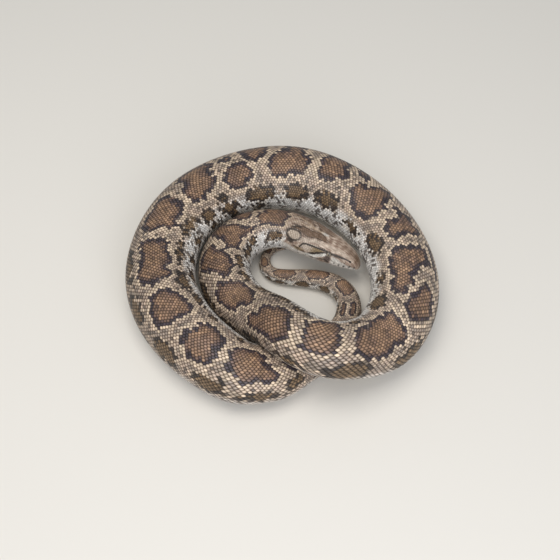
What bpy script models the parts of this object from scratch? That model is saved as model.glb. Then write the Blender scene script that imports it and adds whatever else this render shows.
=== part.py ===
"""A rock python at rest in one flat coil, at life size, as a still museum model.

The whole animal is one swept form. A plan route runs from the snout to the tip of the tail, and
at each distance along it the section has a half width, a rise above the axis and a depth below
it. The body lies on the floor with a flat belly, except where the neck carries the head and where
the front of the trunk climbs over the rear of it. The form is then parted into the head, the
lower jaw, the eyes, the neck, the lengths of the trunk and the lengths of the tail by thin cuts.

Metres, +Z up. The origin is on the floor, under the middle of the coil.
"""

import math

import bmesh
import bpy
import numpy as np
from mathutils import Matrix, Vector

MM = 0.001

# Plan of the backbone behind the head, nape first and tail tip last: x, y in millimetres.
NAPE_TO_TAIL = (
    (12, 67), (-29, 74), (-68, 52), (-83, 16), (-80, -22), (-65, -52), (-45, -77), (-13, -111),
    (18, -151), (60, -172), (108, -156), (147, -124), (174, -71), (176, 1), (149, 75), (89, 143),
    (17, 175), (-64, 163), (-134, 115), (-171, 39), (-174, -36), (-147, -103), (-92, -162),
    (-58, -180), (-31, -180), (-8, -174), (12, -161), (37, -145), (65, -122), (88, -95), (98, -62),
    (91, -25), (60, -3), (13, 5), (-17, 16), (-23, 48), (-10, 63), (7, 69),
)
HEAD_LENGTH = 118 * MM
HEAD_HEADING = math.radians(-30)

# Distance from the snout, half width, rise above the mouth and depth below it, in millimetres.
HEAD_FORM = (
    (0, 5.0, 2.6, 1.8), (1, 7.4, 4.0, 3.0), (3, 10.4, 6.2, 5.0), (6, 13.2, 8.8, 6.8),
    (12, 16.4, 12.2, 9.2), (20, 19.6, 15.2, 11.4), (35, 23.6, 18.8, 13.8), (45, 26.2, 20.6, 15.0),
    (59, 29.0, 22.2, 16.6), (77, 31.0, 23.4, 18.6), (94, 31.6, 24.4, 20.8), (106, 31.2, 25.4, 22.8),
    (118, 30.4, 26.4, 24.6),
)
# Distance from the snout and half width of the neck, the trunk and the tail, in millimetres.
BODY_FORM = (
    (150, 31.8), (180, 34.5), (230, 38.0), (300, 39.5), (400, 39.0), (470, 39.5), (520, 41.5),
    (560, 44.5), (600, 48.0), (660, 49.5), (800, 49.5), (960, 51.5), (1200, 51.0), (1400, 50.5),
    (1460, 48.5), (1510, 44.5), (1550, 39.5), (1600, 33.5), (1650, 25.5), (1690, 20.6), (1726, 18.6),
    (1768, 17.0), (1828, 13.8), (1878, 10.5), (1918, 6.8), (1943, 3.2),
)
ROUNDNESS = 0.93  # a section's height over its width on the trunk
SETTLE = 0.93  # the axis stands this share of the section's depth above the floor
HEAD_ROLL = math.radians(17)  # the head leans towards its left cheek, and the neck levels it out
LEVEL_FROM = 240 * MM
# Distance from the snout and clearance of the carried head and neck, in millimetres.
CARRIED = ((0, 29.5), (118, 22.5), (160, 11.0), (205, 2.5), (245, 0.0))
CLIMB_FROM = 320 * MM
CLIMB_TO = 610 * MM
CLIMB_HEIGHT = 53 * MM
PRESSED_FROM = 1450 * MM  # the rear of the trunk is pressed down where the front lies on it
PRESSED_TO = 1708 * MM
PRESSED_SHARE = 0.2
SAG_SHARE = 0.08  # the climbing length spreads a little on what it lies on
CONTACT_GAP = 2.8 * MM

CUT = 0.6 * MM  # between two lengths of the body, measured on the axis
NECK_END = 200 * MM
VENT = 1708 * MM
TRUNK_LENGTHS = 11
TAIL_LENGTHS = 3
RING_PITCH = 11.5 * MM
TAIL_RING_PITCH = 8 * MM
AROUND = 20
HEAD_AROUND = 28

JAW_END = 98 * MM
JAW_CUT = 0.6 * MM
EYE_RADIUS = 4.2 * MM
EYE_STATION = 42.5 * MM
EYE_OUT = 22.2 * MM
EYE_UP = 9.4 * MM
SOCKET_GAP = 0.3 * MM

TAN = (0.36, 0.28, 0.19)
UMBER = (0.17, 0.11, 0.07)
CREAM = (0.55, 0.48, 0.36)


def curve_through(knots, values, at):
    """Natural cubic spline: second derivatives from the tridiagonal system, zero at both ends."""
    count = len(knots)
    span = np.diff(knots)
    system = np.eye(count)
    load = np.zeros_like(values)
    for i in range(1, count - 1):
        system[i, i - 1 : i + 2] = span[i - 1], 2 * (span[i - 1] + span[i]), span[i]
        load[i] = 6 * ((values[i + 1] - values[i]) / span[i] - (values[i] - values[i - 1]) / span[i - 1])
    bend = np.linalg.solve(system, load)
    i = np.clip(np.searchsorted(knots, at) - 1, 0, count - 2)
    width = span[i][:, None]
    before = (knots[i + 1] - at)[:, None] / width
    after = 1 - before
    straight = before * values[i] + after * values[i + 1]
    curved = (before**3 - before) * bend[i] + (after**3 - after) * bend[i + 1]
    return straight + curved * width**2 / 6


def blend_rows(rows, at):
    """Columns of a table of millimetres at the distances asked for, as cubic Hermite spans."""
    table = np.array(rows, float) * MM
    knots = table[:, 0]
    values = table[:, 1:]
    slopes = np.gradient(values, knots, axis=0)
    at = np.clip(at, knots[0], knots[-1])
    i = np.clip(np.searchsorted(knots, at) - 1, 0, len(knots) - 2)
    span = (knots[i + 1] - knots[i])[:, None]
    t = (at - knots[i])[:, None] / span
    start = (1 + 2 * t) * (1 - t) ** 2 * values[i] + t * (1 - t) ** 2 * span * slopes[i]
    stop = t**2 * (3 - 2 * t) * values[i + 1] - t**2 * (1 - t) * span * slopes[i + 1]
    return start + stop


def hump(at, start, stop):
    """Rises from 0 at start to 1 half way and falls to 0 at stop, as a squared sine."""
    return np.sin(np.pi * np.clip((at - start) / (stop - start), 0, 1)) ** 2


def plan_route():
    """Dense plan points of the backbone and the distance of each from the snout."""
    nape = Vector((NAPE_TO_TAIL[0][0] * MM, NAPE_TO_TAIL[0][1] * MM))
    heading = Vector((math.cos(HEAD_HEADING), math.sin(HEAD_HEADING)))
    points = [nape + heading * HEAD_LENGTH * share for share in (1, 0.7, 0.4)]
    points += [Vector((x * MM, y * MM)) for x, y in NAPE_TO_TAIL]
    points = np.array(points)
    chord = np.append(0, np.cumsum(np.linalg.norm(np.diff(points, axis=0), axis=1)))
    dense = curve_through(chord, points, np.linspace(0, chord[-1], 4000))
    distance = np.append(0, np.cumsum(np.linalg.norm(np.diff(dense, axis=0), axis=1)))
    return distance, dense


DISTANCE, PLAN = plan_route()
TAIL_TIP = DISTANCE[-1]


def sections(at):
    """Half width, rise and depth of the section at each distance from the snout."""
    body = [(s, half, half * ROUNDNESS, half * ROUNDNESS) for s, half in BODY_FORM]
    half, rise, depth = blend_rows(HEAD_FORM + tuple(body), at).T
    pressed = PRESSED_SHARE * hump(at, PRESSED_FROM, PRESSED_TO)
    pressed = pressed + SAG_SHARE * hump(at, CLIMB_FROM, CLIMB_TO)
    return half * (1 + pressed / 2), rise * (1 - pressed), depth * (1 - pressed)


def axis_points(at):
    """Axis of the body: the plan route, at the settled height plus the carried and climbing lifts."""
    x = np.interp(at, DISTANCE, PLAN[:, 0])
    y = np.interp(at, DISTANCE, PLAN[:, 1])
    depth = sections(at)[2]
    carried = blend_rows(CARRIED, at)[:, 0]
    return np.stack([x, y, SETTLE * depth + carried + CLIMB_HEIGHT * hump(at, CLIMB_FROM, CLIMB_TO)], 1)


def lean(up, side, at):
    """The section's sideways and upward directions once the head and the neck are rolled."""
    level = hump(np.minimum(at, LEVEL_FROM), HEAD_LENGTH, 2 * LEVEL_FROM - HEAD_LENGTH)
    roll = HEAD_ROLL * (1 - level)[:, None]
    return side * np.cos(roll) - up * np.sin(roll), up * np.cos(roll) + side * np.sin(roll)


def section_frames(at):
    """Direction towards the tail, and the section's own sideways and upward directions."""
    step = 2 * MM
    ahead = np.clip(at + step, 0, TAIL_TIP)
    behind = np.clip(at - step, 0, TAIL_TIP)
    along = axis_points(ahead) - axis_points(behind)
    along /= np.linalg.norm(along, axis=1, keepdims=True)
    side = np.cross(along, (0, 0, 1))
    side /= np.linalg.norm(side, axis=1, keepdims=True)
    return along, *lean(np.cross(side, along), side, at)


REAR = np.arange(PRESSED_FROM - 60 * MM, PRESSED_TO + 40 * MM, 2 * MM)
REAR_AXIS = axis_points(REAR)
REAR_HALF, REAR_RISE, REAR_DEPTH = sections(REAR)


def rear_top(x, y):
    """Height of the rear of the trunk over the floor at plan places, and 0 beside it."""
    away = np.hypot(x[..., None] - REAR_AXIS[:, 0], y[..., None] - REAR_AXIS[:, 1])
    nearest = away.argmin(axis=-1)
    share = np.clip(away.min(axis=-1) / (REAR_HALF[nearest] + CONTACT_GAP), 0, 1)
    top = REAR_AXIS[nearest, 2] + (REAR_RISE[nearest] + CONTACT_GAP) * np.sqrt(1 - share**2)
    return np.where(share < 1, top, 0)


def body_surface(at, turn):
    """Points of the skin: a superellipse across the axis, kept above the floor and the rear coil.

    The section's power falls from 2.5 on the head to 2 on the body. Turn runs from the side, over
    the back, to the other side and under the belly.
    """
    centre = axis_points(at)
    _, side, up = section_frames(at)
    half, rise, depth = sections(at)
    power = np.interp(at, (90 * MM, 150 * MM), (2.5, 2.0))[:, None]
    cosine = np.cos(turn)[None, :]
    sine = np.sin(turn)[None, :]
    across = half[:, None] * np.sign(cosine) * np.abs(cosine) ** (2 / power)
    height = np.where(sine > 0, rise[:, None], depth[:, None])
    height = height * np.sign(sine) * np.abs(sine) ** (2 / power)
    points = centre[:, None] + across[..., None] * side[:, None] + height[..., None] * up[:, None]
    climbing = ((at > CLIMB_FROM) & (at < CLIMB_TO))[:, None]
    floor = np.where(climbing, rear_top(points[..., 0], points[..., 1]), 0)
    points[..., 2] = np.maximum(points[..., 2], floor)
    return points


def finish(name, colour, roughness):
    material = bpy.data.materials.new(name)
    material.use_nodes = True
    shader = material.node_tree.nodes["Principled BSDF"]
    shader.inputs["Base Color"].default_value = (*colour, 1)
    shader.inputs["Roughness"].default_value = roughness
    return material


def swept_mesh(name, at, around):
    """Closed mesh of the skin over the given distances: a grid wrapped round the axis and capped."""
    shape = bmesh.new()
    bmesh.ops.create_grid(shape, x_segments=around, y_segments=len(at) - 1, size=1)
    shape.verts.ensure_lookup_table()
    turn = np.linspace(0, 2 * np.pi, around + 1)
    skin = body_surface(at, turn)
    for vertex in shape.verts:
        column = round((vertex.co.x + 1) / 2 * around)
        row = round((vertex.co.y + 1) / 2 * (len(at) - 1))
        vertex.co = skin[row, column % around]
    bmesh.ops.remove_doubles(shape, verts=shape.verts, dist=0.01 * MM)
    bmesh.ops.holes_fill(shape, edges=shape.edges)
    bmesh.ops.recalc_face_normals(shape, faces=shape.faces)
    mesh = bpy.data.meshes.new(name)
    shape.to_mesh(mesh)
    shape.free()
    mesh.shade_smooth()
    mesh.set_sharp_from_angle(angle=math.radians(50))
    return mesh


def add_piece(name, mesh, material, collection):
    piece = bpy.data.objects.new(name, mesh)
    mesh.materials.append(material)
    collection.objects.link(piece)
    return piece


def body_length(name, start, stop, pitch, material, collection):
    """One length of the body between two cuts."""
    rings = max(3, round((stop - start) / pitch) + 1)
    at = np.linspace(start + CUT / 2, stop - CUT / 2, rings)
    return add_piece(name, swept_mesh(name, at, AROUND), material, collection)


def head_matrix(along, across, above):
    """Place in the head's own frame: distance from the snout, sideways and above the mouth."""
    ends = np.array([0, HEAD_LENGTH])
    snout, nape = (Vector(point) for point in axis_points(ends))
    back = (nape - snout).normalized()
    level_side = back.cross(Vector((0, 0, 1))).normalized()
    roll = Matrix.Rotation(HEAD_ROLL, 3, back)
    side = roll @ level_side
    up = side.cross(back)
    frame = Matrix((back, side, up)).transposed().to_4x4()
    frame.translation = snout + back * along + side * across + up * above
    return frame


def jaw_block(name, rear, top, collection):
    """Cutter box below the mouth, from ahead of the snout back to the corner of the jaw."""
    ahead = 20 * MM
    bpy.ops.mesh.primitive_cube_add(size=1)
    block = bpy.context.object
    block.name = name
    block.matrix_world = head_matrix((rear - ahead) / 2, 0, top - 50 * MM)
    block.scale = (rear + ahead, 120 * MM, 100 * MM)
    return as_cutter(block, collection)


def as_cutter(cutter, collection):
    for owner in cutter.users_collection:
        owner.objects.unlink(cutter)
    collection.objects.link(cutter)
    cutter.hide_render = True
    cutter.display_type = "WIRE"
    return cutter


def eye_centre(side_sign):
    """Centre of the eye, sideways and above the axis of the section that it lies in."""
    at = np.array([EYE_STATION])
    _, side, up = section_frames(at)
    return Vector((axis_points(at) + side * side_sign * EYE_OUT + up * EYE_UP)[0])


def ball(name, radius, side_sign, segments):
    bpy.ops.mesh.primitive_uv_sphere_add(segments=segments, ring_count=segments // 2, radius=radius)
    sphere = bpy.context.object
    sphere.name = name
    sphere.location = eye_centre(side_sign)
    sphere.data.shade_smooth()
    return sphere


def cut(piece, cutter, operation):
    boolean = piece.modifiers.new(cutter.name, "BOOLEAN")
    boolean.operation = operation
    boolean.object = cutter
    boolean.solver = "EXACT"


def build():
    for thing in list(bpy.data.objects):
        bpy.data.objects.remove(thing)
    parts = bpy.data.collections.new("coiled_python")
    cutters = bpy.data.collections.new("cutters")
    cutters.hide_render = True
    for collection in (parts, cutters):
        bpy.context.scene.collection.children.link(collection)

    head_skin = finish("head_skin", TAN, 0.5)
    jaw_skin = finish("jaw_skin", CREAM, 0.5)
    back_skin = finish("back_skin", UMBER, 0.45)
    tail_skin = finish("tail_skin", TAN, 0.45)
    eye_gloss = finish("eye_gloss", (0.02, 0.015, 0.01), 0.1)

    near_snout = [distance * MM for distance in (0, 1, 3, 6, 10, 15)]
    rest = np.linspace(21 * MM, HEAD_LENGTH - CUT / 2, 15)
    head_mesh = swept_mesh("head", np.append(near_snout, rest), HEAD_AROUND)
    head = add_piece("head", head_mesh, head_skin, parts)
    jaw = add_piece("lower_jaw", head_mesh.copy(), jaw_skin, parts)
    jaw.data.materials[0] = jaw_skin
    cut(head, jaw_block("mouth_cutter", JAW_END + JAW_CUT, JAW_CUT / 2, cutters), "DIFFERENCE")
    cut(jaw, jaw_block("jaw_former", JAW_END, -JAW_CUT / 2, cutters), "INTERSECT")
    for name, side_sign in (("eye_right", -1), ("eye_left", 1)):
        socket = as_cutter(ball(name + "_socket", EYE_RADIUS + SOCKET_GAP, side_sign, 20), cutters)
        cut(head, socket, "DIFFERENCE")
        eye = ball(name, EYE_RADIUS, side_sign, 16)
        eye.data.materials.append(eye_gloss)
        for owner in eye.users_collection:
            owner.objects.unlink(eye)
        parts.objects.link(eye)

    body_length("neck", HEAD_LENGTH, NECK_END, RING_PITCH, back_skin, parts)
    climb_middle = (CLIMB_FROM + CLIMB_TO) / 2
    joints = [NECK_END, CLIMB_FROM, climb_middle]
    joints += list(np.linspace(CLIMB_TO, VENT, TRUNK_LENGTHS - 2))
    for i, (start, stop) in enumerate(zip(joints, joints[1:])):
        body_length(f"trunk_{i + 1:02d}", start, stop, RING_PITCH, back_skin, parts)
    joints = np.linspace(VENT, TAIL_TIP, TAIL_LENGTHS + 1)
    for i, (start, stop) in enumerate(zip(joints, joints[1:])):
        body_length(f"tail_{i + 1}", start, stop, TAIL_RING_PITCH, tail_skin, parts)


build()
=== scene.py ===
"""A rock python at rest in one flat coil, at life size, as a still museum model.

The body is one skin swept along a coiled route, with overlapping scales laid over it in oblique
rows, broad belly scutes under it, horny shields on the front of the head and two glossy eyes.
"""

import math

import bpy
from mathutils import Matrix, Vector
import numpy as np


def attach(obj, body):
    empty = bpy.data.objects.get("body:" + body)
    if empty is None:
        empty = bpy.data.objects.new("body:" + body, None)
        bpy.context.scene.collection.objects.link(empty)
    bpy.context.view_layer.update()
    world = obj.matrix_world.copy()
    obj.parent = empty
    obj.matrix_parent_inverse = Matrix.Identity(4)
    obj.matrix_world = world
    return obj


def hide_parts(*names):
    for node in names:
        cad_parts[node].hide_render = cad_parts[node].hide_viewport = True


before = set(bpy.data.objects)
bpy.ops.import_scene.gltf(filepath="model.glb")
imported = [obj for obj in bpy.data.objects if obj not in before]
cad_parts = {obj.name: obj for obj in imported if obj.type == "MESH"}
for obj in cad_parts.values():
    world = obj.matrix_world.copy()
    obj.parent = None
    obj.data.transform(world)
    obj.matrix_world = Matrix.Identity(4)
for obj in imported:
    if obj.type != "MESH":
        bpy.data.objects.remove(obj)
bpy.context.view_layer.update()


# ---------------------------------------------------------------------------------------------
# Form of the body. Living muscle under a loose skin, swept along the route of the backbone from
# the snout to the tip of the tail. Everything that follows is laid on this form: a place on it
# is a distance from the snout and a share of the girth, counted from the ridge of the back.
# ---------------------------------------------------------------------------------------------

MM = 0.001

# Plan of the backbone behind the head, nape first and tail tip last: x, y in millimetres.
NAPE_TO_TAIL = (
    (12, 67), (-29, 74), (-68, 52), (-83, 16), (-80, -22), (-65, -52), (-45, -77), (-13, -111),
    (18, -151), (60, -172), (108, -156), (147, -124), (174, -71), (176, 1), (149, 75), (89, 143),
    (17, 175), (-64, 163), (-134, 115), (-171, 39), (-174, -36), (-147, -103), (-92, -162),
    (-58, -180), (-31, -180), (-8, -174), (12, -161), (37, -145), (65, -122), (88, -95), (98, -62),
    (91, -25), (60, -3), (13, 5), (-17, 16), (-23, 48), (-10, 63), (7, 69),
)
HEAD_LENGTH = 118 * MM
HEAD_HEADING = math.radians(-30)
# Distance from the snout, half width, rise above the mouth and depth below it, in millimetres.
HEAD_FORM = (
    (0, 5.0, 2.6, 1.8), (1, 7.4, 4.0, 3.0), (3, 10.4, 6.2, 5.0), (6, 13.2, 8.8, 6.8),
    (12, 16.4, 12.2, 9.2), (20, 19.6, 15.2, 11.4), (35, 23.6, 18.8, 13.8), (45, 26.2, 20.6, 15.0),
    (59, 29.0, 22.2, 16.6), (77, 31.0, 23.4, 18.6), (94, 31.6, 24.4, 20.8), (106, 31.2, 25.4, 22.8),
    (118, 30.4, 26.4, 24.6),
)
# Distance from the snout and half width of the neck, the trunk and the tail, in millimetres.
BODY_FORM = (
    (150, 31.8), (180, 34.5), (230, 38.0), (300, 39.5), (400, 39.0), (470, 39.5), (520, 41.5),
    (560, 44.5), (600, 48.0), (660, 49.5), (800, 49.5), (960, 51.5), (1200, 51.0), (1400, 50.5),
    (1460, 48.5), (1510, 44.5), (1550, 39.5), (1600, 33.5), (1650, 25.5), (1690, 20.6), (1726, 18.6),
    (1768, 17.0), (1828, 13.8), (1878, 10.5), (1918, 6.8), (1943, 3.2),
)
# Height of the body over its width, and height of its axis over the depth below it, so that the
# weight presses the belly flat.
ROUNDNESS = 0.93
SETTLE = 0.93
HEAD_ROLL = math.radians(17)
LEVEL_FROM = 240 * MM
# How far the head and the neck are held up: distance from the snout and lift, in millimetres.
CARRIED = ((0, 29.5), (118, 22.5), (160, 11.0), (205, 2.5), (245, 0.0))
# The stretch that climbs over the rear of the trunk, and the rear that it presses down.
CLIMB_FROM = 320 * MM
CLIMB_TO = 610 * MM
CLIMB_HEIGHT = 53 * MM
PRESSED_FROM = 1450 * MM
PRESSED_TO = 1708 * MM
PRESSED_SHARE = 0.2
SAG_SHARE = 0.08
CONTACT_GAP = 2.8 * MM


def curve_through(knots, values, at):
    """Natural cubic spline: second derivatives from the tridiagonal system, zero at both ends."""
    count = len(knots)
    span = np.diff(knots)
    system = np.eye(count)
    load = np.zeros_like(values)
    for i in range(1, count - 1):
        system[i, i - 1 : i + 2] = span[i - 1], 2 * (span[i - 1] + span[i]), span[i]
        load[i] = 6 * ((values[i + 1] - values[i]) / span[i] - (values[i] - values[i - 1]) / span[i - 1])
    bend = np.linalg.solve(system, load)
    i = np.clip(np.searchsorted(knots, at) - 1, 0, count - 2)
    width = span[i][:, None]
    before = (knots[i + 1] - at)[:, None] / width
    after = 1 - before
    straight = before * values[i] + after * values[i + 1]
    curved = (before**3 - before) * bend[i] + (after**3 - after) * bend[i + 1]
    return straight + curved * width**2 / 6


def blend_rows(rows, at):
    """Columns of a table of millimetres at the distances asked for, as cubic Hermite spans."""
    table = np.array(rows, float) * MM
    knots = table[:, 0]
    values = table[:, 1:]
    slopes = np.gradient(values, knots, axis=0)
    at = np.clip(at, knots[0], knots[-1])
    i = np.clip(np.searchsorted(knots, at) - 1, 0, len(knots) - 2)
    span = (knots[i + 1] - knots[i])[:, None]
    t = (at - knots[i])[:, None] / span
    start = (1 + 2 * t) * (1 - t) ** 2 * values[i] + t * (1 - t) ** 2 * span * slopes[i]
    stop = t**2 * (3 - 2 * t) * values[i + 1] - t**2 * (1 - t) * span * slopes[i + 1]
    return start + stop


def hump(at, start, stop):
    """Rises from 0 at start to 1 half way and falls to 0 at stop, as a squared sine."""
    return np.sin(np.pi * np.clip((at - start) / (stop - start), 0, 1)) ** 2


def ease(value, start, stop):
    """Goes from 0 at start to 1 at stop, level at both ends, as 3t^2 - 2t^3."""
    t = np.clip((value - start) / (stop - start), 0, 1)
    return t * t * (3 - 2 * t)


def plan_route():
    """Dense plan points of the backbone and the distance of each from the snout."""
    nape = np.array(NAPE_TO_TAIL[0]) * MM
    heading = np.array((math.cos(HEAD_HEADING), math.sin(HEAD_HEADING)))
    head = [nape + heading * HEAD_LENGTH * share for share in (1, 0.7, 0.4)]
    points = np.vstack([head, np.array(NAPE_TO_TAIL) * MM])
    chord = np.append(0, np.cumsum(np.linalg.norm(np.diff(points, axis=0), axis=1)))
    dense = curve_through(chord, points, np.linspace(0, chord[-1], 4000))
    return np.append(0, np.cumsum(np.linalg.norm(np.diff(dense, axis=0), axis=1))), dense


DISTANCE, PLAN = plan_route()
TAIL_TIP = DISTANCE[-1]


def sections(at):
    """Half width, rise and depth of the section at each distance from the snout."""
    body = [(s, half, half * ROUNDNESS, half * ROUNDNESS) for s, half in BODY_FORM]
    half, rise, depth = blend_rows(HEAD_FORM + tuple(body), at).T
    pressed = PRESSED_SHARE * hump(at, PRESSED_FROM, PRESSED_TO)
    pressed = pressed + SAG_SHARE * hump(at, CLIMB_FROM, CLIMB_TO)
    return half * (1 + pressed / 2), rise * (1 - pressed), depth * (1 - pressed)


def axis_points(at):
    """Axis of the body: the plan route, at the settled height plus the carried and climbing lifts."""
    x = np.interp(at, DISTANCE, PLAN[:, 0])
    y = np.interp(at, DISTANCE, PLAN[:, 1])
    depth = sections(at)[2]
    carried = blend_rows(CARRIED, at)[:, 0]
    return np.stack([x, y, SETTLE * depth + carried + CLIMB_HEIGHT * hump(at, CLIMB_FROM, CLIMB_TO)], 1)


def unit(vectors):
    """The vectors, each divided by its length."""
    return vectors / np.maximum(np.linalg.norm(vectors, axis=-1, keepdims=True), 1e-12)


def frame_roll(at):
    """The head leans towards its left cheek, and the neck levels it out again."""
    level = hump(np.minimum(at, LEVEL_FROM), HEAD_LENGTH, 2 * LEVEL_FROM - HEAD_LENGTH)
    return HEAD_ROLL * (1 - level)


def section_frames(at):
    """Direction towards the tail, and the section's own sideways and upward directions."""
    step = 2 * MM
    along = unit(axis_points(np.clip(at + step, 0, TAIL_TIP)) - axis_points(np.clip(at - step, 0, TAIL_TIP)))
    side = unit(np.cross(along, (0, 0, 1)))
    up = np.cross(side, along)
    roll = frame_roll(at)[:, None]
    return along, side * np.cos(roll) - up * np.sin(roll), up * np.cos(roll) + side * np.sin(roll)


REAR = np.arange(PRESSED_FROM - 60 * MM, PRESSED_TO + 40 * MM, 2 * MM)
REAR_AXIS = axis_points(REAR)
REAR_HALF, REAR_RISE, _ = sections(REAR)


def rear_top(x, y):
    """Height of the rear of the trunk over the floor at plan places, and 0 beside it."""
    away = np.hypot(x[..., None] - REAR_AXIS[:, 0], y[..., None] - REAR_AXIS[:, 1])
    nearest = away.argmin(axis=-1)
    share = np.clip(away.min(axis=-1) / (REAR_HALF[nearest] + CONTACT_GAP), 0, 1)
    top = REAR_AXIS[nearest, 2] + (REAR_RISE[nearest] + CONTACT_GAP) * np.sqrt(1 - share**2)
    return np.where(share < 1, top, 0)


def body_surface(at, turn):
    """Points of the form: a superellipse across the axis, kept above the floor and the rear coil.

    The section's power falls from 2.5 on the head to 2 on the body. Turn runs from the side, over
    the back, to the other side and under the belly.
    """
    centre = axis_points(at)
    _, side, up = section_frames(at)
    half, rise, depth = sections(at)
    power = np.interp(at, (90 * MM, 150 * MM), (2.5, 2.0))[:, None]
    cosine = np.cos(turn)[None, :]
    sine = np.sin(turn)[None, :]
    across = half[:, None] * np.sign(cosine) * np.abs(cosine) ** (2 / power)
    height = np.where(sine > 0, rise[:, None], depth[:, None])
    height = height * np.sign(sine) * np.abs(sine) ** (2 / power)
    points = centre[:, None] + across[..., None] * side[:, None] + height[..., None] * up[:, None]
    climbing = (at > CLIMB_FROM) & (at < CLIMB_TO)
    floor = np.zeros(points.shape[:2])
    floor[climbing] = rear_top(points[climbing, :, 0], points[climbing, :, 1])
    points[..., 2] = np.maximum(points[..., 2], floor)
    return points


# The ridge of the back leans outwards in the bends: distance in millimetres, lean in degrees.
RIDGE_LEAN = (
    (0, 17), (118, 17), (240, 16), (330, 20), (480, 21), (620, 14), (760, 8), (900, 0),
    (1000, -7), (1120, 0), (1250, 16), (1400, 14), (1550, 10), (1708, 0), (1943, 0),
)
HEAD_STATIONS = np.arange(0, HEAD_LENGTH, 0.5 * MM)
BODY_STATIONS = np.linspace(HEAD_LENGTH, TAIL_TIP, 910)
STATIONS = np.concatenate([HEAD_STATIONS, BODY_STATIONS])
SHARES = np.linspace(-0.5, 0.5, 385)


def unroll_form():
    """The form on a grid of stations and equal shares of the girth, with its girths.

    Each ring is measured along its own outline from the ridge of the back, so that equal steps
    of the share are equal steps on the skin. All rings are read in one interpolation, each ring
    shifted past the end of the one before it.
    """
    turn = np.linspace(0, 2 * np.pi, 481)
    rings = body_surface(STATIONS, turn)
    steps = np.linalg.norm(np.diff(rings, axis=1), axis=2)
    length = np.concatenate([np.zeros((len(rings), 1)), np.cumsum(steps, axis=1)], axis=1)
    girth = length[:, -1]
    knots, leans = np.array(RIDGE_LEAN, float).T
    lean = np.radians(np.interp(STATIONS, knots * MM, leans)) - frame_roll(STATIONS)
    shift = np.arange(len(rings))[:, None]
    at_ridge = np.interp((shift * 10 + np.pi / 2 - lean[:, None]).ravel(),
                         (shift * 10 + turn[None, :]).ravel(), length.ravel())
    wanted = (at_ridge[:, None] + SHARES[None, :] * girth[:, None]) % girth[:, None]
    keys = (shift * 1.0 + length).ravel()
    points = [np.interp((shift * 1.0 + wanted).ravel(), keys, rings[..., axis].ravel()) for axis in range(3)]
    return np.stack(points, 1).reshape(len(rings), len(SHARES), 3), girth


FORM, GIRTH = unroll_form()


def outward_normals(grid):
    """Unit normals of a grid whose columns close on themselves, from its differences, facing out."""
    wrapped = np.concatenate([grid[:, -2:-1], grid, grid[:, 1:2]], axis=1)
    return unit(np.cross(np.gradient(grid, axis=0), wrapped[:, 2:] - wrapped[:, :-2]))


FORM_AND_NORMALS = np.concatenate([FORM, outward_normals(FORM)], axis=2)
BODY_INSET = 0.95 * MM
HEAD_INSET = 0.45 * MM


def read_grid(grid, stations, s, f):
    """Values of a grid over stations and equal shares of the girth, between its four points."""
    row = np.interp(s, stations, np.arange(len(stations)))
    column = np.mod(f + 0.5, 1.0) * (grid.shape[1] - 1)
    i = np.clip(row.astype(int), 0, len(stations) - 2)
    j = np.clip(column.astype(int), 0, grid.shape[1] - 2)
    u = (row - i)[..., None]
    v = (column - j)[..., None]
    near = grid[i, j] * (1 - v) + grid[i, j + 1] * v
    far = grid[i + 1, j] * (1 - v) + grid[i + 1, j + 1] * v
    return near * (1 - u) + far * u


def skin_at(s, f, lift=0.0):
    """Places on the skin and the normals there: the form, let in by the depth of the coat and
    then lifted along the normal."""
    points, normals = np.split(read_grid(FORM_AND_NORMALS, STATIONS, s, f), 2, axis=-1)
    normals = unit(normals)
    inset = HEAD_INSET + (BODY_INSET - HEAD_INSET) * ease(s, 90 * MM, 130 * MM)
    return points + normals * (lift - inset)[..., None], normals
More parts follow.
